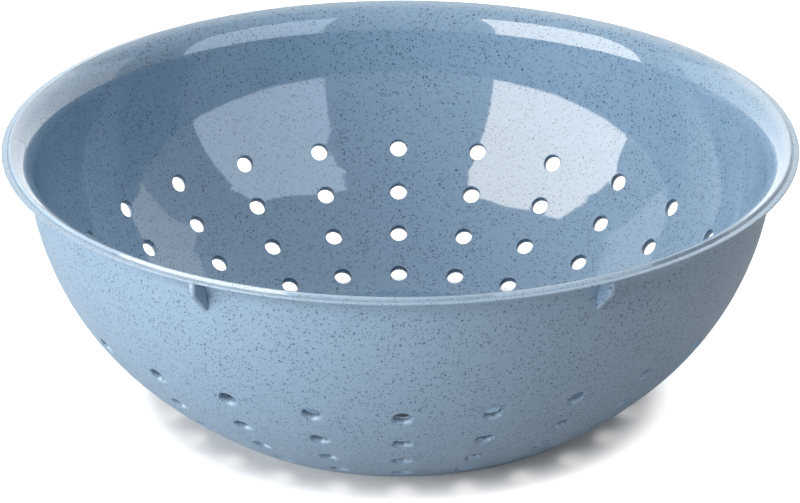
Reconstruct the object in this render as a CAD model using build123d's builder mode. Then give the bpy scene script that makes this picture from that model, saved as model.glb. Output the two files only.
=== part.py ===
from build123d import *
import math
import os

os.makedirs("parts", exist_ok=True)

# Colander bowl: one moulding with a flat floor, curved wall, drain holes,
# rolled-out rim and stacking ribs under the rim.
# The origin is the centre of the ring that it stands on, and Z goes up.
# A slope is the direction of the wall's section in degrees from level.

# Rim, a lip that turns out and ends in a thin edge, with a raised ridge and a groove inside it
rim_radius = 140.0
rim_thickness = 0.7
rim_chamfer = 0.25
flare_radius = 9.0
lip_width = 2.53
lip_slope = 18.0
ridge_height = 1.0
ridge_width = 0.5
groove_width = 0.9
groove_depth = 0.3

# Wall, two arcs that meet at the middle slope
wall_thickness = 2.4
lower_wall_radius = 157.0
upper_wall_radius = 102.7
base_slope = 32.4
middle_slope = 45.7
brim_slope = 85.1

# Base, flat inside, standing on a low ring under its edge
foot_height = 1.2
foot_width = 3.2
floor_round = 12.0
gate_recess_radius = 4.0
gate_recess_depth = 0.6

# Drain holes, square to the wall, in rows that line up from the rim to the centre.
# They are drawn with few sides, to keep a wall of many holes light.
hole_diameter = 6.6
hole_sides = 8
row_pitch = 17.2
first_row_distance = 10.5
wall_rows = 4
holes_per_row = 24
first_ring_inset = 8.5
hole_land = 5.0
cut_overrun = 2.0

# Stacking ribs
rib_count = 6
rib_width = 2.6
rib_inset = 1.3
rib_face_height = 5.7
rib_drop = 6.5
rib_corner_round = 1.5


def sine(slope):
    return math.sin(math.radians(slope))


def cosine(slope):
    return math.cos(math.radians(slope))


def direction(slope):
    return (cosine(slope), sine(slope))


def arc_reach(radius, slope_from, slope_to):
    """How far outwards an arc runs while its slope grows."""
    return radius * (sine(slope_to) - sine(slope_from))


def arc_rise(radius, slope_from, slope_to):
    """How far upwards an arc runs while its slope grows."""
    return radius * (cosine(slope_from) - cosine(slope_to))


# Radii from the rim's edge inwards to the base, heights from the base upwards
flare_end = rim_radius - rim_chamfer - lip_width
brim_radius = flare_end - arc_reach(flare_radius, lip_slope, brim_slope)
middle_radius = brim_radius - arc_reach(upper_wall_radius, middle_slope, brim_slope)
base_radius = middle_radius - arc_reach(lower_wall_radius, base_slope, middle_slope)
middle_height = arc_rise(lower_wall_radius, base_slope, middle_slope)
brim_height = middle_height + arc_rise(upper_wall_radius, middle_slope, brim_slope)
lip_rise = lip_width * sine(lip_slope) / cosine(lip_slope)
rim_underside = brim_height + arc_rise(flare_radius, lip_slope, brim_slope) + lip_rise
rim_top = rim_underside + rim_thickness
ridge_top = rim_top + ridge_height
lower_length = lower_wall_radius * math.radians(middle_slope - base_slope)


def wall_slope(distance):
    """Slope of the wall at a distance up its outer face from the base."""
    if distance < lower_length:
        return base_slope + math.degrees(distance / lower_wall_radius)
    return middle_slope + math.degrees((distance - lower_length) / upper_wall_radius)


def wall_point(slope, depth):
    """Radius and height of the wall where it has this slope, at a depth under its outer face."""
    if slope < middle_slope:
        radius = base_radius + arc_reach(lower_wall_radius, base_slope, slope)
        height = arc_rise(lower_wall_radius, base_slope, slope)
    else:
        radius = middle_radius + arc_reach(upper_wall_radius, middle_slope, slope)
        height = middle_height + arc_rise(upper_wall_radius, middle_slope, slope)
    return (radius - depth * sine(slope), height + depth * cosine(slope))


# Inside of the wall where it meets the flat floor
floor_height = foot_height + wall_thickness
inner_lower_radius = lower_wall_radius - wall_thickness
inner_upper_radius = upper_wall_radius - wall_thickness
floor_rise_share = (lower_wall_radius * cosine(base_slope) - floor_height) / inner_lower_radius
floor_slope = math.degrees(math.acos(floor_rise_share))
floor_corner = wall_point(floor_slope, wall_thickness)

# The inner flare climbs from the wall to the ridge, and thickens on the way
inner_brim = wall_point(brim_slope, wall_thickness)
inner_flare_radius = (ridge_top - inner_brim[1]) / (cosine(lip_slope) - cosine(brim_slope))

# The root of each rib lies in the middle of the wall and over the underside of the rim
root_depth = wall_thickness / 2
root_radius = upper_wall_radius - root_depth
root_flare_radius = flare_radius + root_depth
root_brim = wall_point(brim_slope, root_depth)
root_slope = math.degrees(math.acos(cosine(brim_slope) + rib_drop / root_radius))
root_end_share = cosine(brim_slope) + (rim_underside - root_brim[1]) / root_flare_radius
root_end_slope = math.degrees(math.acos(root_end_share))
rib_face_radius = rim_radius - rib_inset

# Rings of holes through the floor, from the wall inwards. A ring that is too short
# for a whole row with its land between the holes has a half, a quarter or an eighth of one.
least_ring_radius = gate_recess_radius + gate_recess_depth + (hole_diameter + hole_land) / 2
ring_span = base_radius - first_ring_inset - least_ring_radius
ring_radii = []
ring_counts = []
for ring in range(math.floor(ring_span / row_pitch) + 1):
    ring_radius = base_radius - first_ring_inset - ring * row_pitch
    ring_count = holes_per_row
    while 2 * math.pi * ring_radius / ring_count < hole_diameter + hole_land:
        ring_count = ring_count // 2
    ring_radii.append(ring_radius)
    ring_counts.append(ring_count)

with BuildPart() as colander:
    # The moulding, turned from a section drawn between two columns of holes,
    # so that no hole is cut on the seam
    section_plane = Plane.XZ.rotated((0, 0, 180 / holes_per_row))
    with BuildSketch(section_plane) as section:
        with BuildLine():
            underside = Polyline(
                (0, foot_height + gate_recess_depth),
                (gate_recess_radius, foot_height + gate_recess_depth),
                (gate_recess_radius + gate_recess_depth, foot_height),
                (base_radius - foot_width, foot_height),
                (base_radius - foot_width + foot_height, 0),
                (base_radius, 0),
            )
            lower = JernArc(
                start=underside @ 1,
                tangent=direction(base_slope),
                radius=lower_wall_radius,
                arc_size=middle_slope - base_slope,
            )
            upper = JernArc(
                start=lower @ 1,
                tangent=direction(middle_slope),
                radius=upper_wall_radius,
                arc_size=brim_slope - middle_slope,
            )
            flare = JernArc(
                start=upper @ 1,
                tangent=direction(brim_slope),
                radius=flare_radius,
                arc_size=lip_slope - brim_slope,
            )
            inner_lower = JernArc(
                start=floor_corner,
                tangent=direction(floor_slope),
                radius=inner_lower_radius,
                arc_size=middle_slope - floor_slope,
            )
            inner_upper = JernArc(
                start=inner_lower @ 1,
                tangent=direction(middle_slope),
                radius=inner_upper_radius,
                arc_size=brim_slope - middle_slope,
            )
            inner_flare = JernArc(
                start=inner_upper @ 1,
                tangent=direction(brim_slope),
                radius=inner_flare_radius,
                arc_size=lip_slope - brim_slope,
            )
            crest = inner_flare @ 1
            ridge_edge = crest.X + ridge_width
            Polyline(
                crest,
                (ridge_edge, ridge_top),
                (ridge_edge + groove_width / 2, rim_top - groove_depth),
                (ridge_edge + groove_width, rim_top),
                (rim_radius - rim_chamfer, rim_top),
                (rim_radius, rim_top - rim_chamfer),
                (rim_radius, rim_underside + rim_chamfer),
                (rim_radius - rim_chamfer, rim_underside),
                flare @ 1,
            )
            Polyline(floor_corner, (0, floor_height), underside @ 0)
        make_face()
        fillet(section.vertices().sort_by_distance(floor_corner)[0], radius=floor_round)
    revolve(axis=Axis.Z)

    # Stacking ribs, from the underside of the rim down to a point on the wall
    for number in range(rib_count):
        with BuildSketch(Plane.XZ.rotated((0, 0, number * 360 / rib_count))) as rib:
            with BuildLine():
                root_wall = JernArc(
                    start=wall_point(root_slope, root_depth),
                    tangent=direction(root_slope),
                    radius=root_radius,
                    arc_size=brim_slope - root_slope,
                )
                root_flare = JernArc(
                    start=root_wall @ 1,
                    tangent=direction(brim_slope),
                    radius=root_flare_radius,
                    arc_size=root_end_slope - brim_slope,
                )
                outline = Polyline(
                    root_flare @ 1,
                    (rib_face_radius, rim_underside),
                    (rib_face_radius, rim_underside - rib_face_height),
                    root_wall @ 0,
                )
            make_face()
            corner = (rib_face_radius, rim_underside - rib_face_height)
            fillet(rib.vertices().sort_by_distance(corner)[0], radius=rib_corner_round)
        extrude(amount=rib_width / 2, both=True)

    # Holes through the floor, in rings
    with BuildSketch(Plane.XY.offset(foot_height)):
        for ring_radius, ring_count in zip(ring_radii, ring_counts):
            with PolarLocations(radius=ring_radius, count=ring_count):
                RegularPolygon(
                    radius=hole_diameter / 2,
                    side_count=hole_sides,
                    major_radius=False,
                    rotation=180 / hole_sides,
                )
    extrude(amount=wall_thickness + cut_overrun, both=True, mode=Mode.SUBTRACT)

    # Holes through the wall, in rows that are even along its outer face
    for row in range(wall_rows):
        slope = wall_slope(first_row_distance + row * row_pitch)
        radius, height = wall_point(slope, root_depth)
        turns = [column * 360 / holes_per_row for column in range(holes_per_row)]
        hole_planes = [
            Plane(
                origin=(radius * cosine(turn), radius * sine(turn), height),
                x_dir=(-sine(turn), cosine(turn), 0),
                z_dir=(-sine(slope) * cosine(turn), -sine(slope) * sine(turn), cosine(slope)),
            )
            for turn in turns
        ]
        with BuildSketch(*hole_planes):
            RegularPolygon(
                radius=hole_diameter / 2,
                side_count=hole_sides,
                major_radius=False,
                rotation=180 / hole_sides,
            )
        extrude(amount=root_depth + cut_overrun, both=True, mode=Mode.SUBTRACT)

colander.part.label = "colander"
export_step(colander.part, "parts/colander.step")
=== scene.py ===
"""The looks of a moulded kitchen colander: its bowl, its stacking ribs and a plain studio.

Lengths are in metres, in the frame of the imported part: Z goes up along the bowl's axis,
and the bowl stands on the floor at the origin.
"""

import math

import bmesh
import bpy
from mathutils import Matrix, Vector
from mathutils.geometry import delaunay_2d_cdt


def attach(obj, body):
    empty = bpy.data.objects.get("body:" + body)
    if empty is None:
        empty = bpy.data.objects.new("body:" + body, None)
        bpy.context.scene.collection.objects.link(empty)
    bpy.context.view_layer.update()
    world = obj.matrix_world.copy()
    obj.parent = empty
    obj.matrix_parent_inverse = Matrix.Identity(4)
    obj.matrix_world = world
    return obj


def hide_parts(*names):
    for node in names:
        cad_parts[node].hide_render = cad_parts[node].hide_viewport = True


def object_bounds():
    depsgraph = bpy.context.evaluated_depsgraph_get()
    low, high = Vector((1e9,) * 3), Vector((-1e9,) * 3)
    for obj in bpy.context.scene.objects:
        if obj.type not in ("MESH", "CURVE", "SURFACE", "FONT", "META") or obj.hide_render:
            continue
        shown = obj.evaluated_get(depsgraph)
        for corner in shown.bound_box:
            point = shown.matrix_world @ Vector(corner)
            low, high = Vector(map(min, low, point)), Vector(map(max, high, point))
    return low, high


bl_info = {
    "name": "Colander",
    "version": (1, 0, 0),
    "blender": (4, 2, 0),
    "location": "View3D > Sidebar > Colander",
    "description": "Builds a moulded colander with drain holes and stacking ribs",
    "category": "Add Mesh",
}

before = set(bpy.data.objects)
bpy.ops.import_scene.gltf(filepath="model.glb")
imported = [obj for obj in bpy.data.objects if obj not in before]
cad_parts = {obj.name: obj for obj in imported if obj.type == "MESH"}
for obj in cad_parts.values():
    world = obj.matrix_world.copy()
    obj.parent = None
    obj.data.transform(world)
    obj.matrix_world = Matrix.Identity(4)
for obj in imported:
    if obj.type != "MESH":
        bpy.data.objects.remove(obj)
cad_low, cad_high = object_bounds()

MM = 0.001
NODE = "colander"
BODY = "root"
# Name of the vertex attribute for gloss, which below 0 marks painted shade inside the holes
GLOSS_AND_HOLE_SHADE = "gloss"

# Chamfer of the solid's rim, short of which the slope of the lip's underside ends
RIM_CHAMFER = 0.25 * MM
# Vertices nearer than this are one vertex where sectors meet
JOIN_DISTANCE = 2e-6
# Points nearer than this are one point of an outline
SAME_POINT = 1e-7
# Steps along one side of the cell round a hole, and all round the hole
SIDE = 6
ROUND = 4 * SIDE
# Steps of the round on a hole's edge and along a rib
EDGE_STEPS = 3
ROUND_STEPS = 4


# Sizes and colours


def length(name, description, millimetres):
    """A property for a length, given in millimetres."""
    return bpy.props.FloatProperty(
        name=name,
        description=description,
        default=millimetres * MM,
        min=0,
        precision=4,
        subtype="DISTANCE",
        unit="LENGTH",
    )


def slope(name, description, degrees):
    """A property for an angle, given in degrees."""
    return bpy.props.FloatProperty(
        name=name,
        description=description,
        default=math.radians(degrees),
        subtype="ANGLE",
        unit="ROTATION",
    )


def count(name, description, number):
    """A property for a whole number."""
    return bpy.props.IntProperty(name=name, description=description, default=number, min=1)


def share(name, description, value):
    """A property for a share or a strength."""
    return bpy.props.FloatProperty(name=name, description=description, default=value, min=0)


def colour(name, description, values):
    """A property for a colour."""
    return bpy.props.FloatVectorProperty(
        name=name,
        description=description,
        default=values,
        min=0,
        max=1,
        subtype="COLOR",
    )


class ColanderSizes(bpy.types.PropertyGroup):
    """Sizes of the moulding."""

    rim_radius: length("Rim radius", "From the axis to the rim's outer edge", cad_high.x / MM)
    rim_thickness: length("Rim thickness", "Thickness of the rim's outer edge", 0.7)
    flare_radius: length("Flare radius", "Round under the rim where the wall turns out", 9.0)
    lip_width: length("Lip width", "Straight underside from the flare to the edge", 2.78)
    lip_slope: slope("Lip slope", "Slope of the lip's underside and of its inner end", 18.0)
    ridge_height: length("Ridge height", "Rise of the ridge over the rim", 1.0)
    ridge_width: length("Ridge width", "Flat top of the ridge", 0.5)
    ridge_round: length("Ridge round", "Round on the edges of ridge and groove", 0.32)
    groove_width: length("Groove width", "From the ridge to the rim's edge land", 0.9)
    groove_depth: length("Groove depth", "Depth of the groove under the rim's top", 0.3)
    wall_thickness: length("Wall thickness", "Thickness of wall and floor", 2.4)
    lower_wall_radius: length("Lower wall radius", "Section arc of the lower wall", 157.0)
    upper_wall_radius: length("Upper wall radius", "Section arc of the upper wall", 102.7)
    base_slope: slope("Base slope", "Slope of the wall at the base", 32.4)
    middle_slope: slope("Middle slope", "Slope where the wall's two arcs meet", 45.7)
    brim_slope: slope("Brim slope", "Slope of the wall under the flare", 85.1)
    foot_height: length("Foot height", "Height of the standing ring", 1.2)
    foot_width: length("Foot width", "Width of the standing ring", 3.2)
    foot_round: length("Foot round", "Round on the edges of the standing ring", 0.5)
    floor_round: length("Floor round", "Inner round between floor and wall", 12.0)
    gate_radius: length("Gate recess radius", "Small recess under the floor's middle", 4.0)
    gate_depth: length("Gate recess depth", "Depth of that recess", 0.6)
    hole_diameter: length("Hole diameter", "Narrowest width of a drain hole", 6.35)
    hole_outer_round: length("Outer hole round", "Round on a hole's outer edge", 0.75)
    hole_inner_round: length("Inner hole round", "Round on a hole's inner edge", 0.35)
    hole_lean: length("Hole lean", "How much lower a hole's outer end lies than its inner end", 0.8)
    hole_land: length("Hole land", "Least plastic between two holes of a ring", 5.0)
    row_pitch: length("Row pitch", "From one row of holes to the next", 17.2)
    first_row: length("First row", "From the base up the wall to the first row", 10.5)
    first_ring: length("First ring", "From the base inwards to the first floor ring", 8.5)
    wall_rows: count("Wall rows", "Rows of holes in the wall", 4)
    holes_per_row: count("Holes per row", "Holes round each row", 24)
    rib_count: count("Ribs", "Stacking ribs under the rim", 6)
    rib_width: length("Rib width", "Thickness of a rib", 2.6)
    rib_inset: length("Rib inset", "From the rim's edge inwards to a rib's face", 1.3)
    rib_face: length("Rib face", "Height of a rib's upright face", 5.7)
    rib_drop: length("Rib drop", "From the brim down to a rib's tip", 6.5)
    rib_corner: length("Rib corner", "Round on a rib's lower corner", 1.5)
    rib_edge: length("Rib edge", "Round along a rib's edges", 1.1)


class ColanderLooks(bpy.types.PropertyGroup):
    """Colours and finish of the plastic."""

    plastic: colour("Inside", "Colour of the polished plastic", (0.272, 0.41, 0.56))
    satin: colour("Outside", "Colour of the satin plastic", (0.268, 0.39, 0.526))
    fleck: colour("Flecks", "Colour of the dark flecks", (0.014, 0.036, 0.078))
    fleck_share: share("Fleck strength", "How far a fleck darkens the plastic", 0.9)
    # A painted highlight along the crest of the rim: its colour and how strongly it shows
    painted_crest_highlight: colour("Worn crest", "Colour of the plastic where the rim is rubbed", (0.6, 0.7, 0.78))
    crest_highlight_share: share("Wear", "How far the crest of the rim is rubbed", 0.42)
    # Painted shade that darkens the inside of each hole
    hole_shade_share: share("Hollow shade", "How much darker the inside of a hole is", 0.75)
    inner_roughness: share("Inner roughness", "Roughness of the polished inside", 0.045)
    outer_roughness: share("Outer roughness", "Roughness of the satin outside", 0.42)


class ColanderStudio(bpy.types.PropertyGroup):
    """Lamps and backdrop."""

    left_box: share("Left softbox", "Brightness of the softbox in front on the left", 6.4)
    right_box: share("Right softbox", "Brightness of the softbox in front on the right", 0.2)
    left_high: share("Left high panel", "Brightness of the panel above on the left", 0.5)
    top_panel: share("Top panel", "Brightness of the panel overhead", 0.75)
    back_panel: share("Back panel", "Brightness of the panel above at the back", 2.75)
    front_panel: share("Front panel", "Brightness of the panel above the camera", 1.1)
    right_side: share("Right side panel", "Brightness of the panel on the right side", 0.7)
    left_glint: share("Left glint", "Extra brightness of the left softbox in reflections", 9.4)
    right_glint: share("Right glint", "Extra brightness of the right softbox in reflections", 4.6)
    ambient: share("Ambient", "Brightness of the room", 0.02)
    backdrop: share("Backdrop", "Brightness of the backdrop in reflections", 1.45)
    floor_glow: share("Floor glow", "How much of the floor's white is its own", 0.85)
    floor: colour("Floor", "Colour of the floor", (0.82, 0.79, 0.76))


# Section of the moulding


class Section:
    """Places on the moulding's section, as radius and height."""

    def __init__(self, sizes):
        self.s = s = sizes
        self.brim_radius = s.rim_radius - s.lip_width - s.flare_radius * (
            math.sin(s.brim_slope) - math.sin(s.lip_slope)
        )
        self.middle_radius = self.brim_radius - s.upper_wall_radius * (
            math.sin(s.brim_slope) - math.sin(s.middle_slope)
        )
        self.base_radius = self.middle_radius - s.lower_wall_radius * (
            math.sin(s.middle_slope) - math.sin(s.base_slope)
        )
        self.middle_height = s.lower_wall_radius * (
            math.cos(s.base_slope) - math.cos(s.middle_slope)
        )
        self.brim_height = self.middle_height + s.upper_wall_radius * (
            math.cos(s.middle_slope) - math.cos(s.brim_slope)
        )
        self.rim_underside = (
            self.brim_height
            + s.flare_radius * (math.cos(s.lip_slope) - math.cos(s.brim_slope))
            + (s.lip_width - RIM_CHAMFER) * math.tan(s.lip_slope)
        )
        self.rim_top = self.rim_underside + s.rim_thickness
        self.ridge_top = self.rim_top + s.ridge_height
        self.floor_height = s.foot_height + s.wall_thickness
        self.lower_length = s.lower_wall_radius * (s.middle_slope - s.base_slope)
        self.wall_length = self.lower_length + s.upper_wall_radius * (s.brim_slope - s.middle_slope)
        self.round_slope = math.acos(
            (s.lower_wall_radius * math.cos(s.base_slope) - self.floor_height - s.floor_round)
            / (s.lower_wall_radius - s.wall_thickness - s.floor_round)
        )
        self.round_distance = s.lower_wall_radius * (self.round_slope - s.base_slope)
        touch = self.offset(self.round_distance, s.wall_thickness)
        self.floor_radius = touch[0] - s.floor_round * math.sin(self.round_slope)
        self.round_start = self.round_distance - s.floor_round * self.round_slope

    def slope(self, distance):
        """Slope of the wall at a distance up its outer face from the base."""
        if distance < self.lower_length:
            return self.s.base_slope + distance / self.s.lower_wall_radius
        return self.s.middle_slope + (distance - self.lower_length) / self.s.upper_wall_radius

    def offset(self, distance, depth):
        """The point at a distance up the outer face and a depth under it."""
        s = self.s
        a = self.slope(distance)
        sine, cosine = math.sin(a), math.cos(a)
        if distance < self.lower_length:
            radius = self.base_radius + s.lower_wall_radius * (sine - math.sin(s.base_slope))
            height = s.lower_wall_radius * (math.cos(s.base_slope) - cosine)
        else:
            radius = self.middle_radius + s.upper_wall_radius * (sine - math.sin(s.middle_slope))
            height = self.middle_height + s.upper_wall_radius * (math.cos(s.middle_slope) - cosine)
        return radius - depth * sine, height + depth * cosine

    def inner(self, distance):
        """The inner face at that distance: the wall, or under it the round to the floor."""
        if distance >= self.round_distance:
            return self.offset(distance, self.s.wall_thickness)
        a = self.round_slope - (self.round_distance - distance) / self.s.floor_round
        return (
            self.floor_radius + self.s.floor_round * math.sin(a),
            self.floor_height + self.s.floor_round * (1 - math.cos(a)),
        )

    def through(self, distance, part):
        """A point between the outer face (part 0) and the inner face (part 1)."""
        outside = self.offset(distance, 0)
        inside = self.inner(distance)
        return tuple(o + (i - o) * part for o, i in zip(outside, inside))

    def rings(self):
        """Radius and number of holes of each ring in the floor."""
        s = self.s
        least = s.gate_radius + s.gate_depth + (s.hole_diameter + s.hole_land) / 2
        radius = self.base_radius - s.first_ring
        found = []
        while radius >= least:
            holes = s.holes_per_row
            while 2 * math.pi * radius / holes < s.hole_diameter + s.hole_land:
                holes //= 2
            found.append((radius, holes))
            radius -= s.row_pitch
        return found


def polar(radius, azimuth):
    return radius * math.cos(azimuth), radius * math.sin(azimuth)


def arc(start, slope_from, slope_to, radius, steps):
    """Points after the start of an arc that bends from one slope to another."""
    bend = radius if slope_to > slope_from else -radius
    made = []
    for step in range(1, steps + 1):
        a = slope_from + (slope_to - slope_from) * step / steps
        made.append(
            (
                start[0] + bend * (math.sin(a) - math.sin(slope_from)),
                start[1] + bend * (math.cos(slope_from) - math.cos(a)),
            )
        )
    return made


def rounded(corners, steps):
    """A run of points whose inner corners are rounded. A corner is a point and its radius."""
    made = [corners[0][0]]
    for before, (point, radius), after in zip(corners, corners[1:], corners[2:]):
        here = Vector(point)
        one = (Vector(before[0]) - here).normalized()
        two = (Vector(after[0]) - here).normalized()
        half = one.angle(two) / 2
        reach = radius / math.tan(half)
        start = here + one * reach
        end = here + two * reach
        for step in range(steps + 1):
            t = step / steps
            near = start.lerp(here, t)
            far = here.lerp(end, t)
            made.append(tuple(near.lerp(far, t)))
    made.append(corners[-1][0])
    return made


# Mesh building


class Surface:
    """Vertices and faces in the making, with the gloss of each vertex, which below 0 marks painted
    shade inside a hole.
    """

    def __init__(self):
        self.points = []
        self.gloss = []
        self.faces = []

    def add(self, point, gloss):
        self.points.append(point)
        self.gloss.append(gloss)
        return len(self.points) - 1

    def turned(self, profile, azimuths):
        """Bands from a profile of (radius, height, gloss), turned through the azimuths."""
        rows = []
        for radius, height, gloss in profile:
            rows.append([self.add((*polar(radius, a), height), gloss) for a in azimuths])
        for low, high in zip(rows, rows[1:]):
            self.strip(low, high)
        return rows

    def strip(self, one, two):
        """Faces between two runs of vertices."""
        for a, b, c, d in zip(one, one[1:], two[1:], two):
            self.faces.append((a, b, c, d))

    def loop(self, one, two):
        """Faces between two closed loops of vertices."""
        self.strip(one + one[:1], two + two[:1])

    def mesh(self, name):
        made = bpy.data.meshes.new(name)
        made.from_pydata(self.points, [], self.faces)
        layer = made.attributes.new(GLOSS_AND_HOLE_SHADE, "FLOAT", "POINT")
        layer.data.foreach_set("value", self.gloss)
        return made


def throat(sizes):
    """The run through a hole from outside to inside, as (radius, depth, gloss).

    The gloss falls to -1 at the inner end of the throat, where the material paints shade into the
    hole.
    """
    thickness = sizes.wall_thickness
    radius = sizes.hole_diameter / 2
    outer = sizes.hole_outer_round
    inner = sizes.hole_inner_round
    run = []
    for step in range(EDGE_STEPS + 1):
        a = math.pi / 2 * step / EDGE_STEPS
        run.append((radius + outer * (1 - math.sin(a)), outer * (1 - math.cos(a)), 0.0))
    for step in range(EDGE_STEPS + 1):
        a = math.pi / 2 * step / EDGE_STEPS
        depth = thickness - inner * (1 - math.sin(a))
        run.append((radius + inner * (1 - math.cos(a)), depth, 4 * a / math.pi - 1))
    return run


def square_side(number):
    """The point with this number on the edge of a square from -1 to 1, from its right side on."""
    side, place = divmod((number + SIDE // 2) % ROUND, SIDE)
    along = 2 * place / SIDE - 1
    return [(1, along), (-along, 1), (-1, -along), (along, -1)][side]


def wall_cell(surface, section, centre):
    """One hole in the wall with the plastic round it, one column wide and one row high."""
    s = section.s
    half_height = s.row_pitch / 2
    middle_radius = section.offset(centre, s.wall_thickness / 2)[0]
    half_width = math.pi / s.holes_per_row * middle_radius
    run = throat(s)

    def put(x, y, part, gloss):
        radius, height = section.through(centre + y, part)
        return surface.add((*polar(radius, x / middle_radius), height), gloss)

    def around(radius, share_out, part, gloss):
        made = []
        for number in range(ROUND):
            a = 2 * math.pi * number / ROUND
            u, v = square_side(number)
            x = radius * math.cos(a)
            y = radius * math.sin(a) + (part - 1) * s.hole_lean
            x += (u * half_width - x) * share_out
            y += (v * half_height - y) * share_out
            made.append(put(x, y, part, gloss))
        return made

    # How far out towards the cell's edge each loop of the flat plastic lies
    spread = (1.0, 0.5, 0.07)
    loops = [around(run[0][0], out, 0.0, 0.0) for out in spread]
    loops += [around(radius, 0.0, depth / s.wall_thickness, gloss) for radius, depth, gloss in run]
    loops += [around(run[-1][0], out, 1.0, 1.0) for out in reversed(spread)]
    for one, two in zip(loops, loops[1:]):
        surface.loop(one, two)


def flat_fill(surface, outline, holes, height, gloss):
    """Fills a flat outline, with its holes left open."""
    points = []
    edges = []
    for run in [outline] + holes:
        first = len(points)
        points += [Vector(point) for point in run]
        edges += [(first + i, first + (i + 1) % len(run)) for i in range(len(run))]
    found, _, faces, _, _, _ = delaunay_2d_cdt(points, edges, [], 2, SAME_POINT)
    made = [surface.add((p.x, p.y, height), gloss) for p in found]
    for face in faces:
        middle = sum((found[i] for i in face), Vector((0, 0))) / len(face)
        if inside(middle, outline) and not any(inside(middle, hole) for hole in holes):
            surface.faces.append(tuple(made[i] for i in face))


def inside(point, outline):
    """True if a point lies in a closed outline."""
    found = False
    for (ax, ay), (bx, by) in zip(outline, outline[1:] + outline[:1]):
        if (ay > point.y) != (by > point.y):
            crossing = (bx - ax) * (point.y - ay) / (by - ay) + ax
            if point.x < crossing:
                found = not found
    return found


def floor_sector(section):
    """The part of the floor that repeats as often as the innermost ring has holes."""
    s = section.s
    surface = Surface()
    rings = section.rings()
    sectors = rings[-1][1]
    wide = 2 * math.pi / sectors
    step = 2 * math.pi / (s.holes_per_row * SIDE)
    bands = []
    outer = section.floor_radius
    for radius, holes in rings:
        bands.append((outer, -math.pi / holes))
        outer = radius - s.row_pitch / 2

    def sweep(radius, a, b):
        steps = round(abs(b - a) / step)
        return [polar(radius, a + (b - a) * i / steps) for i in range(steps)]

    def outline(edge_radius, inner_radius):
        """Round the sector: out along one side, along the edge, and in along the other."""
        radii = [edge_radius] + [band[0] for band in bands[1:]]
        starts = [band[1] for band in bands]
        run = []
        for number in range(len(bands) - 1, -1, -1):
            below = radii[number + 1] if number + 1 < len(bands) else inner_radius
            run.append(polar(below, starts[number]))
            if number:
                run += sweep(radii[number], starts[number], starts[number - 1])
        run += sweep(edge_radius, starts[0], starts[0] + wide)
        run.append(polar(edge_radius, starts[0] + wide))
        for number in range(1, len(bands)):
            run += sweep(radii[number], starts[number - 1] + wide, starts[number] + wide)
            run.append(polar(radii[number], starts[number] + wide))
        run += sweep(inner_radius, starts[-1] + wide, starts[-1]) if inner_radius else []
        clean = []
        for point in run:
            if not clean or math.dist(point, clean[-1]) > SAME_POINT:
                clean.append(point)
        if math.dist(clean[0], clean[-1]) < SAME_POINT:
            clean.pop()
        return clean

    centres = []
    for radius, holes in rings:
        for number in range(holes // sectors):
            centres.append(polar(radius, 2 * math.pi * number / holes))
    run = throat(s)
    # Ring round each hole that keeps the fill's thin triangles off its edge
    guard = 0.3 * MM

    def circle(centre, radius):
        turns = [2 * math.pi * (i + 0.5) / ROUND for i in range(ROUND)]
        return [(centre[0] + radius * math.cos(a), centre[1] + radius * math.sin(a)) for a in turns]

    # The flat underside, open at the gate recess, and the flat inside
    recess_edge = s.gate_radius + s.gate_depth
    for edge, inner_edge, height, radius, gloss in (
        (section.base_radius - s.foot_width, recess_edge, s.foot_height, run[0][0], 0.0),
        (section.floor_radius, 0, section.floor_height, run[-1][0], 1.0),
    ):
        guards = [circle(centre, radius + guard) for centre in centres]
        flat_fill(surface, outline(edge, inner_edge), guards, height, gloss)
        for centre in centres:
            two = [
                [surface.add((x, y, height), gloss) for x, y in circle(centre, r)]
                for r in (radius + guard, radius)
            ]
            surface.loop(*two)
    for centre in centres:
        loops = [
            [surface.add((x, y, s.foot_height + depth), gloss) for x, y in circle(centre, radius)]
            for radius, depth, gloss in run
        ]
        for one, two in zip(loops, loops[1:]):
            surface.loop(one, two)

    turns = [bands[-1][1] + step * i for i in range(round(wide / step) + 1)]
    recess = [
        (recess_edge, s.foot_height, 0.0),
        (s.gate_radius, s.foot_height + s.gate_depth, 0.0),
    ]
    rows = surface.turned(recess, turns)
    middle = surface.add((0, 0, s.foot_height + s.gate_depth), 0.0)
    for a, b in zip(rows[-1], rows[-1][1:]):
        surface.faces.append((a, b, middle))
    return surface.mesh("floor_sector"), sectors


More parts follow.
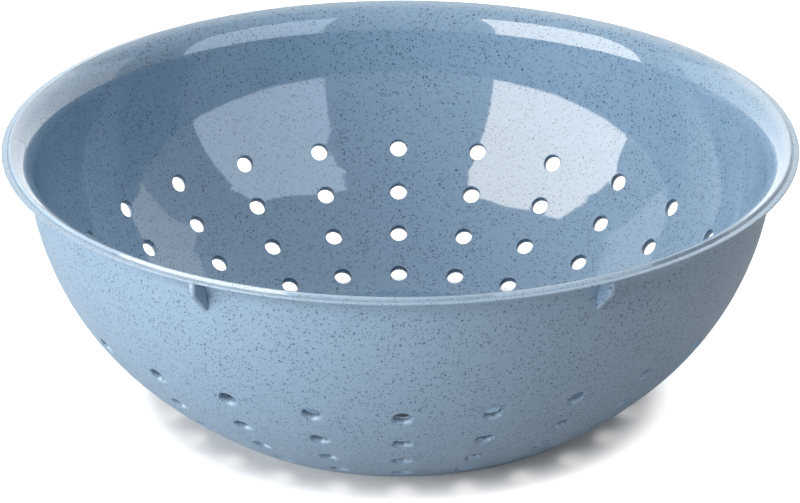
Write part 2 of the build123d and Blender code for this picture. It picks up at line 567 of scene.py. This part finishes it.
def wall_sector(section):
    """One column of the wall with its holes, and the same width of rim, flare and foot."""
    s = section.s
    surface = Surface()
    bottom = s.first_row - s.row_pitch / 2
    top = bottom + s.wall_rows * s.row_pitch
    for row in range(s.wall_rows):
        wall_cell(surface, section, s.first_row + row * s.row_pitch)
    half = math.pi / s.holes_per_row
    azimuths = [-half + 2 * half * i / SIDE for i in range(SIDE + 1)]

    def climb(low, high, steps):
        return [low + (high - low) * i / steps for i in range(steps + 1)]

    # Foot: from the floor's edge under the base, round the standing ring and up the wall.
    # Its first corner is rounded from a lead under the floor, which is then cut off.
    base = section.base_radius
    heel = base - s.foot_width
    lead, heel_round, least_step = 0.4 * MM, 0.2 * MM, 0.02 * MM
    foot = rounded(
        [
            ((heel - lead, s.foot_height), 0),
            ((heel, s.foot_height), heel_round),
            ((heel + s.foot_height, 0), s.foot_round),
            ((base, 0), s.foot_round),
            (section.offset(bottom, 0), 0),
        ],
        3,
    )
    foot = [(heel, s.foot_height)] + [p for p in foot[1:] if p[0] > heel + least_step]
    surface.turned([(r, z, 0.0) for r, z in foot], azimuths)
    inside_round = [section.inner(d) for d in climb(section.round_start, bottom, 3)]
    surface.turned([(r, z, 1.0) for r, z in inside_round], azimuths)

    # Rim: up the outside, round the flange, over the ridge and down the inside
    outer = [section.offset(d, 0) for d in climb(top, section.wall_length, 9)]
    outer += arc(outer[-1], s.brim_slope, s.lip_slope, s.flare_radius, 9)
    edge_round = s.rim_thickness / 2
    lip_end = (
        s.rim_radius - edge_round + edge_round * math.sin(s.lip_slope),
        section.rim_top - edge_round * (1 + math.cos(s.lip_slope)),
    )
    edge = [lip_end] + arc(lip_end, s.lip_slope, math.pi, edge_round, 7)
    inner_brim = section.offset(section.wall_length, s.wall_thickness)
    flare = (section.ridge_top - inner_brim[1]) / (math.cos(s.lip_slope) - math.cos(s.brim_slope))
    inner = arc(inner_brim, s.brim_slope, s.lip_slope, flare, 12)
    crest = inner[-1]
    ridge = crest[0] + s.ridge_width
    groove = [
        (inner[-2], 0),
        (crest, s.ridge_round * 0.5),
        ((ridge, section.ridge_top), s.ridge_round * 0.8),
        ((ridge + s.groove_width / 2, section.rim_top - s.groove_depth), s.ridge_round * 0.5),
        ((ridge + s.groove_width, section.rim_top), s.ridge_round),
        (edge[-1], 0),
    ]
    over = rounded(groove, 3)
    down = [section.inner(d) for d in climb(section.wall_length, top, 9)]
    profile = [(r, z, 0.0) for r, z in outer + edge]
    profile += [(r, z, 1.0) for r, z in over[-2:0:-1] + inner[-2::-1] + down]
    surface.turned(profile, azimuths)
    return surface.mesh("wall_sector")


def rib_plate(section):
    """One stacking rib: an upright plate from the rim's underside down to a point on the wall."""
    s = section.s
    depth = s.wall_thickness / 2
    radius = s.upper_wall_radius - depth
    low = math.acos(math.cos(s.brim_slope) + s.rib_drop / radius)
    distance = section.lower_length + (low - s.middle_slope) * s.upper_wall_radius
    root = [section.offset(distance, depth)]
    root += arc(root[0], low, s.brim_slope, radius, 5)
    top = section.rim_underside
    brim = root[-1]
    flare = s.flare_radius + depth
    end = math.acos(math.cos(s.brim_slope) + (top - brim[1]) / flare)
    root += arc(brim, s.brim_slope, end, flare, 7)
    face = s.rim_radius - s.rib_inset
    corner = rounded(
        [
            ((face, top), 0),
            ((face, top - s.rib_face), s.rib_corner),
            (root[0], 0),
        ],
        5,
    )
    edge = corner[:-1]
    inwards = [Vector((-1, 0))]
    for before, after in zip(edge, edge[2:] + [root[0]]):
        run = (Vector(after) - Vector(before)).normalized()
        inwards.append(Vector((run.y, -run.x)))

    # The outline, drawn in towards both sides so that the free edge is well rounded
    turns = [math.pi / 2 * step / ROUND_STEPS for step in range(ROUND_STEPS + 1)]
    places = [
        (s.rib_edge * (1 - math.sin(turn)), s.rib_width / 2 - s.rib_edge * (1 - math.cos(turn)))
        for turn in turns
    ]
    places += [(inset, -across) for inset, across in reversed(places)]
    work = bmesh.new()
    rings = []
    for inset, across in places:
        ring = [work.verts.new((r, across, z)) for r, z in root]
        for (r, z), way in zip(edge, inwards):
            ring.append(work.verts.new((r + way.x * inset, across, z + way.y * inset)))
        rings.append(ring)
    work.faces.new(rings[0])
    work.faces.new(rings[-1][::-1])
    for one, two in zip(rings, rings[1:]):
        for a, b, c, d in zip(one, one[1:] + one[:1], two[1:] + two[:1], two):
            work.faces.new((a, b, c, d))
    bmesh.ops.recalc_face_normals(work, faces=work.faces[:])
    made = bpy.data.meshes.new("rib_plate")
    work.to_mesh(made)
    work.free()
    made.attributes.new(GLOSS_AND_HOLE_SHADE, "FLOAT", "POINT")
    return made


# Node trees


class Socket:
    """An output socket of a node tree, on which sums are written as expressions."""

    def __init__(self, tree, socket):
        self.tree = tree
        self.socket = socket

    def sum(self, operation, *values):
        node = self.tree.node("ShaderNodeMath", {"operation": operation}, dict(enumerate(values)))
        return self.tree.out(node)

    def __add__(self, other):
        return self.sum("ADD", self, other)

    def __sub__(self, other):
        return self.sum("SUBTRACT", self, other)

    def __mul__(self, other):
        return self.sum("MULTIPLY", self, other)

    def __truediv__(self, other):
        return self.sum("DIVIDE", self, other)

    def __pow__(self, other):
        return self.sum("POWER", self, other)

    def __rsub__(self, other):
        return self.sum("SUBTRACT", other, self)

    __radd__ = __add__
    __rmul__ = __mul__


class Tree:
    """Adds nodes to a node tree."""

    def __init__(self, tree):
        self.tree = tree

    def node(self, kind, settings=None, values=None):
        """A node of this kind. Its settings are set first, then its sockets' values or links."""
        made = self.tree.nodes.new(kind)
        for name, value in (settings or {}).items():
            setattr(made, name, value)
        for name, value in (values or {}).items():
            if isinstance(value, Socket):
                self.tree.links.new(value.socket, made.inputs[name])
            else:
                made.inputs[name].default_value = value
        return made

    def out(self, node, name=0):
        return Socket(self, node.outputs[name])

    def noise(self, place, scale, detail):
        values = {"Vector": place, "Scale": scale, "Detail": detail}
        return self.out(self.node("ShaderNodeTexNoise", None, values), "Fac")

    def moved(self, operation, place, change):
        """A vector changed by another, or by a number where the operation is SCALE."""
        values = {0: place, "Scale" if operation == "SCALE" else 1: change}
        return self.out(self.node("ShaderNodeVectorMath", {"operation": operation}, values))

    def smooth(self, value, low, high):
        """Rises smoothly from 0 to 1 between two values."""
        node = self.node(
            "ShaderNodeMapRange",
            {"interpolation_type": "SMOOTHSTEP"},
            {"Value": value, "From Min": low, "From Max": high},
        )
        return self.out(node, "Result")

    def mix(self, factor, one, two):
        """A colour between two colours."""
        node = self.node("ShaderNodeMix", {"data_type": "RGBA"}, {"Factor": factor, 6: one, 7: two})
        return self.out(node, 2)


def turned_copies():
    """A tree that turns copies of a sector round the axis and joins them."""
    group = bpy.data.node_groups.new("turned_copies", "GeometryNodeTree")
    face = group.interface
    face.new_socket("Sector", in_out="INPUT", socket_type="NodeSocketGeometry")
    face.new_socket("Copies", in_out="INPUT", socket_type="NodeSocketInt")
    face.new_socket("Join Distance", in_out="INPUT", socket_type="NodeSocketFloat")
    face.new_socket("Material", in_out="INPUT", socket_type="NodeSocketMaterial")
    face.new_socket("Mesh", in_out="OUTPUT", socket_type="NodeSocketGeometry")
    tree = Tree(group)
    start = tree.node("NodeGroupInput")
    copies = tree.out(start, "Copies")
    points = tree.node("GeometryNodePoints", None, {"Count": copies})
    index = tree.out(tree.node("GeometryNodeInputIndex"))
    turn = tree.node("ShaderNodeCombineXYZ", None, {"Z": index * math.tau / copies})
    placed = tree.node(
        "GeometryNodeInstanceOnPoints",
        None,
        {
            "Points": tree.out(points),
            "Instance": tree.out(start, "Sector"),
            "Rotation": tree.out(turn),
        },
    )
    real = tree.node("GeometryNodeRealizeInstances", None, {"Geometry": tree.out(placed)})
    joined = tree.node(
        "GeometryNodeMergeByDistance",
        None,
        {"Geometry": tree.out(real), "Distance": tree.out(start, "Join Distance")},
    )
    smooth = tree.node("GeometryNodeSetShadeSmooth", None, {"Geometry": tree.out(joined)})
    dressed = tree.node(
        "GeometryNodeSetMaterial",
        None,
        {"Geometry": tree.out(smooth), "Material": tree.out(start, "Material")},
    )
    tree.node("NodeGroupOutput", None, {"Mesh": tree.out(dressed)})
    return group


def repeated(name, sector, copies, material):
    """The plain mesh of a sector repeated round the axis."""
    group = bpy.data.node_groups.get("turned_copies") or turned_copies()
    piece = bpy.data.objects.new(name, sector)
    bpy.context.scene.collection.objects.link(piece)
    modifier = piece.modifiers.new("copies", "NODES")
    modifier.node_group = group
    values = {"Copies": copies, "Join Distance": JOIN_DISTANCE, "Material": material}
    for item in group.interface.items_tree:
        if item.in_out == "INPUT" and item.name in values:
            modifier[item.identifier] = values[item.name]
    bpy.context.view_layer.update()
    graph = bpy.context.evaluated_depsgraph_get()
    made = bpy.data.meshes.new_from_object(piece.evaluated_get(graph), depsgraph=graph)
    made.name = name
    bpy.data.objects.remove(piece)
    return made


def finished(name, mesh, replaces):
    """A piece of the colander from its plain mesh, riding on the body."""
    piece = bpy.data.objects.new(name, mesh)
    bpy.context.scene.collection.objects.link(piece)
    if replaces:
        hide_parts(NODE)
    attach(piece, BODY)
    return piece


# Sizes of flecks: cells per metre, a fleck's width as a share of its cell, and how rare it is
FLECKS = ((1200.0, 0.36, 0.27), (800.0, 0.33, 0.44), (480.0, 0.25, 0.73))
# Relief, in metres
GRAIN_HEIGHT = 6e-6
FINE_HEIGHT = 3e-6
WAVE_HEIGHT = 1.3e-4
SINK_DEPTH = 6e-5
SINK_REACH = 2.6 * MM


def plastic(sizes, looks):
    """The flecked plastic, polished inside and satin outside."""
    material = bpy.data.materials.get("flecked_plastic")
    if material:
        return material
    material = bpy.data.materials.new("flecked_plastic")
    material.use_nodes = True
    material.node_tree.nodes.clear()
    tree = Tree(material.node_tree)
    place = tree.out(tree.node("ShaderNodeTexCoord"), "Object")
    # The gloss attribute: 0 to 1 runs from satin to polished, and below 0 it is painted shade
    # inside a hole
    finish = tree.out(tree.node("ShaderNodeAttribute", {"attribute_name": GLOSS_AND_HOLE_SHADE}), "Fac")
    gloss = finish.sum("MAXIMUM", finish, 0.0)
    painted_hole_shade = finish.sum("MAXIMUM", finish * -1.0, 0.0)

    # Flecks of ground-in darker plastic, smeared a little out of round, in loose clusters
    bend = tree.node("ShaderNodeTexNoise", None, {"Vector": place, "Scale": 1500.0, "Detail": 1.0})
    off = tree.moved("SCALE", tree.out(bend, "Color"), 0.9 * MM)
    smeared = tree.moved("ADD", place, off)
    crowd = tree.noise(place, 95.0, 2.0)
    dark = None
    for scale, size, rare in FLECKS:
        cells = tree.node("ShaderNodeTexVoronoi", None, {"Vector": smeared, "Scale": scale})
        parts = tree.node("ShaderNodeSeparateColor", None, {"Color": tree.out(cells, "Color")})
        chance = tree.out(parts, "Red") + (crowd - 0.5) * 0.9
        wide = tree.smooth(chance, rare, rare + 0.35) * size
        mark = tree.smooth(tree.out(cells, "Distance") / (wide + 1e-4), 1.0, 0.7)
        mark = mark * (tree.out(parts, "Green") * 0.5 + 0.5)
        dark = mark if dark is None else dark.sum("MAXIMUM", dark, mark)
    colour_here = tree.mix(gloss, (*looks.satin, 1), (*looks.plastic, 1))
    haze = tree.noise(place, 60.0, 3.0)
    broad = tree.noise(place, 14.0, 3.0)
    fine = tree.noise(place, 700.0, 2.0)
    tone = (broad - 0.5) * 0.10 + (fine - 0.5) * 0.16 + 1.0
    grey = tree.node("ShaderNodeCombineColor", None, {"Red": tone, "Green": tone, "Blue": tone})
    base = tree.node(
        "ShaderNodeMix",
        {"data_type": "RGBA", "blend_type": "MULTIPLY"},
        {"Factor": 1.0, 6: colour_here, 7: tree.out(grey)},
    )
    body = tree.mix(dark * looks.fleck_share, tree.out(base, 2), (*looks.fleck, 1))
    # Painted shade: the inside of each hole is darkened towards the fleck colour
    body = tree.mix(painted_hole_shade * looks.hole_shade_share, body, (*looks.fleck, 1))

    # Painted highlight: the crest of the rim is painted lighter, as if it caught the light
    xyz = tree.node("ShaderNodeSeparateXYZ", None, {"Vector": place})
    x, y, z = (tree.out(xyz, axis) for axis in "XYZ")
    painted_crest_highlight = tree.smooth(z, cad_high.z - 2 * MM, cad_high.z) * (haze * 0.6 + 0.7) * looks.crest_highlight_share
    body = tree.mix(painted_crest_highlight, body, (*looks.painted_crest_highlight, 1))

    # Roughness: polished inside, satin outside, both a little uneven
    rough = gloss * (looks.inner_roughness - looks.outer_roughness) + looks.outer_roughness
    rough = rough + (haze - 0.5) * (0.08 - gloss * 0.06)

    # Relief: eroded grain outside, slight waves inside, and a sink mark over each rib
    radius = (x * x + y * y) ** 0.5
    turns = x.sum("ARCTAN2", y, x) / math.tau * sizes.rib_count + 0.5
    from_rib = (turns.sum("FRACT", turns) - 0.5) * radius * (math.tau / sizes.rib_count)
    sink = tree.smooth(from_rib.sum("ABSOLUTE", from_rib), SINK_REACH, 0.0)
    sink = sink * tree.smooth(z, cad_high.z - 12 * MM, cad_high.z - 5 * MM) * gloss
    grain = tree.noise(place, 2600.0, 2.0) * (1 - gloss) * GRAIN_HEIGHT + fine * FINE_HEIGHT
    upright = tree.moved("MULTIPLY", place, (1.0, 1.0, 0.25))
    waves = tree.noise(upright, 45.0, 1.0) * gloss * WAVE_HEIGHT
    bump = tree.node(
        "ShaderNodeBump",
        None,
        {"Strength": 1.0, "Distance": 1.0, "Height": grain + waves - sink * SINK_DEPTH},
    )
    shader = tree.node(
        "ShaderNodeBsdfPrincipled",
        None,
        {
            "Base Color": body,
            "Roughness": rough,
            "IOR": 1.5,
            "Normal": tree.out(bump),
        },
    )
    tree.node("ShaderNodeOutputMaterial", None, {"Surface": tree.out(shader)})
    return material


# Operators


class COLANDER_OT_bowl(bpy.types.Operator):
    """Build the bowl with its floor, wall, drain holes and rim"""

    bl_idname = "colander.bowl"
    bl_label = "Bowl"

    def execute(self, context):
        sizes = context.scene.colander_sizes
        section = Section(sizes)
        material = plastic(sizes, context.scene.colander_looks)
        wall = repeated("wall", wall_sector(section), sizes.holes_per_row, material)
        sector, sectors = floor_sector(section)
        floor = repeated("floor", sector, sectors, material)
        work = bmesh.new()
        work.from_mesh(wall)
        work.from_mesh(floor)
        bmesh.ops.remove_doubles(work, verts=work.verts[:], dist=JOIN_DISTANCE)
        bmesh.ops.recalc_face_normals(work, faces=work.faces[:])
        open_edges = [e for e in work.edges if not e.is_manifold]
        mesh = bpy.data.meshes.new("bowl")
        work.to_mesh(mesh)
        work.free()
        if open_edges:
            raise RuntimeError(f"the bowl has {len(open_edges)} open edges")
        mesh.materials.append(material)
        mesh.shade_smooth()
        piece = finished("bowl", mesh, replaces=True)
        even = piece.modifiers.new("even_normals", "WEIGHTED_NORMAL")
        even.keep_sharp = True
        even.weight = 60
        return {"FINISHED"}


class COLANDER_OT_ribs(bpy.types.Operator):
    """Build the stacking ribs under the rim"""

    bl_idname = "colander.ribs"
    bl_label = "Stacking ribs"

    def execute(self, context):
        sizes = context.scene.colander_sizes
        section = Section(sizes)
        material = plastic(sizes, context.scene.colander_looks)
        mesh = repeated("stacking_ribs", rib_plate(section), sizes.rib_count, material)
        mesh.shade_smooth()
        piece = finished("stacking_ribs", mesh, replaces=False)
        even = piece.modifiers.new("even_normals", "WEIGHTED_NORMAL")
        even.keep_sharp = True
        return {"FINISHED"}


def aimed(azimuth, elevation, distance, target):
    """A place and a turn for a lamp that looks at the target. Azimuth runs from +Y towards +X."""
    a = math.radians(azimuth)
    e = math.radians(elevation)
    way = Vector((math.sin(a) * math.cos(e), math.cos(a) * math.cos(e), math.sin(e)))
    return target + way * distance, way.to_track_quat("Z", "Y").to_euler()


def lamp(name, width, height, brightness):
    """A rectangular lamp with this brightness of its face."""
    data = bpy.data.lights.new(name, "AREA")
    data.shape = "RECTANGLE"
    data.size = width
    data.size_y = height
    data.energy = brightness * math.pi * width * height
    made = bpy.data.objects.new(name, data)
    made.visible_camera = False
    bpy.context.scene.collection.objects.link(made)
    return made


# Lamps that light the colander: name, setting, azimuth, elevation, width, height
PANELS = (
    ("left_softbox", "left_box", -122, 11, 2.35, 1.95),
    ("right_softbox", "right_box", 131, 12, 2.1, 2.0),
    ("left_high", "left_high", -110, 52, 2.2, 1.4),
    ("top_panel", "top_panel", 0, 88, 2.4, 2.4),
    ("back_panel", "back_panel", 0, 52, 2.4, 1.4),
    ("right_side", "right_side", 82, 28, 1.6, 1.4),
    ("front_panel", "front_panel", 180, 50, 2.0, 1.4),
)
# What the polished inside mirrors, two lit walls in front and the backdrop behind: name,
# setting, azimuth, start, end and top as shares of the distance, colour
WALLS = (
    ("left_glint", "left_glint", -138, -0.19, 0.87, 1.43, (1.0, 0.95, 0.86)),
    ("right_glint", "right_glint", 158, -1.21, -0.05, 1.4, (0.72, 0.85, 1.0)),
    ("backdrop_right", "backdrop", 45, -0.9, 0.65, 0.9, (0.9, 0.96, 1.0)),
    ("backdrop_left", "backdrop", -45, -0.6, 1.0, 0.9, (0.9, 0.96, 1.0)),
)
LAMP_DISTANCE = 2.6
# Half the side of the floor
FLOOR_REACH = 0.62
# How far the floor looks round for the bowl that shades its own white
SHADE_DISTANCE = 0.014


def panel_lamp(name, azimuth, elevation, width, height, brightness):
    """A lamp that lights the colander and faces it, and isn't mirrored in it."""
    made = lamp(name, width, height, brightness)
    target = Vector((0, 0, 0.07))
    made.location, made.rotation_euler = aimed(azimuth, elevation, LAMP_DISTANCE, target)
    made.visible_glossy = False


def mirrored_wall(name, azimuth, start, end, top, tint, brightness):
    """An upright lit wall that is only mirrored."""
    distance = LAMP_DISTANCE
    made = lamp(name, (end - start) * distance, top * distance, brightness)
    made.data.color = tint
    away, made.rotation_euler = aimed(azimuth, 0, distance, Vector((0, 0, top * distance / 2)))
    along, _ = aimed(azimuth + 90, 0, (start + end) / 2 * distance, Vector((0, 0, 0)))
    made.location = away + along
    made.visible_diffuse = False


class COLANDER_OT_stage(bpy.types.Operator):
    """Set up the floor, the lamps, the room and the camera"""

    bl_idname = "colander.stage"
    bl_label = "Stage"

    def execute(self, context):
        studio = context.scene.colander_studio
        scene = context.scene
        scene.view_settings.view_transform = "Standard"

        # Floor: lit as any floor, and to the camera it also glows, with a painted shadow that dims
        # the glow close to the bowl
        mesh = bpy.data.meshes.new("floor")
        reach = FLOOR_REACH
        corners = [(-reach, -reach, 0), (reach, -reach, 0), (reach, reach, 0), (-reach, reach, 0)]
        mesh.from_pydata(corners, [], [(0, 1, 2, 3)])
        floor = bpy.data.objects.new("studio_floor", mesh)
        scene.collection.objects.link(floor)
        material = bpy.data.materials.new("floor_paint")
        material.use_nodes = True
        material.node_tree.nodes.clear()
        tree = Tree(material.node_tree)
        eye = tree.out(tree.node("ShaderNodeLightPath"), "Is Camera Ray")
        painted_shadow_ao = tree.node(
            "ShaderNodeAmbientOcclusion", {"samples": 32}, {"Distance": SHADE_DISTANCE}
        )
        lit = tree.smooth(tree.out(painted_shadow_ao, "AO"), 0.2, 1.0) * 0.95 + 0.05
        matt = tree.node("ShaderNodeBsdfDiffuse", None, {"Color": (*studio.floor, 1)})
        glow = tree.node("ShaderNodeEmission", None, {"Strength": eye * lit * studio.floor_glow})
        both = tree.node("ShaderNodeAddShader", None, {0: tree.out(matt), 1: tree.out(glow)})
        tree.node("ShaderNodeOutputMaterial", None, {"Surface": tree.out(both)})
        mesh.materials.append(material)

        # Room: white to the camera and in what mirrors it, dim as a light
        world = bpy.data.worlds.new("room")
        world.use_nodes = True
        world.node_tree.nodes.clear()
        tree = Tree(world.node_tree)
        path = tree.node("ShaderNodeLightPath")
        mirrored = tree.out(path, "Is Glossy Ray")
        through = tree.out(path, "Is Transmission Ray")
        seen = tree.out(path, "Is Camera Ray") + mirrored + through
        strength = seen * (1 - studio.ambient) + studio.ambient
        white = {"Color": (1, 1, 1, 1), "Strength": strength}
        room = tree.node("ShaderNodeBackground", None, white)
        tree.node("ShaderNodeOutputWorld", None, {"Surface": tree.out(room)})
        scene.world = world

        # Lamps, and what the polished inside mirrors
        for name, setting, *place in PANELS:
            panel_lamp(name, *place, getattr(studio, setting))
        for name, setting, *place in WALLS:
            mirrored_wall(name, *place, getattr(studio, setting))

        # Camera, at the photograph's angle
        data = bpy.data.cameras.new("camera")
        data.lens = 205.2
        data.sensor_width = 36
        data.clip_start = 0.05
        data.clip_end = 50
        camera = bpy.data.objects.new("camera", data)
        camera.location = (-0.0089, -1.4845, 0.7046)
        camera.rotation_euler = (math.radians(66.28), 0, math.radians(-0.34))
        scene.collection.objects.link(camera)
        scene.camera = camera
        return {"FINISHED"}


class COLANDER_PT_panel(bpy.types.Panel):
    """Builds the colander step by step"""

    bl_idname = "COLANDER_PT_panel"
    bl_label = "Colander"
    bl_space_type = "VIEW_3D"
    bl_region_type = "UI"
    bl_category = "Colander"

    def draw(self, context):
        for step in STEPS:
            self.layout.operator(step.bl_idname)
        for name in ("colander_sizes", "colander_looks", "colander_studio"):
            group = getattr(context.scene, name)
            box = self.layout.box()
            for key in group.__annotations__:
                box.prop(group, key)


STEPS = (COLANDER_OT_bowl, COLANDER_OT_ribs, COLANDER_OT_stage)
CLASSES = (ColanderSizes, ColanderLooks, ColanderStudio, *STEPS, COLANDER_PT_panel)


def register():
    for entry in CLASSES:
        bpy.utils.register_class(entry)
    bpy.types.Scene.colander_sizes = bpy.props.PointerProperty(type=ColanderSizes)
    bpy.types.Scene.colander_looks = bpy.props.PointerProperty(type=ColanderLooks)
    bpy.types.Scene.colander_studio = bpy.props.PointerProperty(type=ColanderStudio)


def unregister():
    del bpy.types.Scene.colander_studio
    del bpy.types.Scene.colander_looks
    del bpy.types.Scene.colander_sizes
    for entry in reversed(CLASSES):
        bpy.utils.unregister_class(entry)


def main():
    register()
    bpy.ops.colander.bowl()
    bpy.ops.colander.ribs()
    bpy.ops.colander.stage()


if __name__ == "__main__":
    main()
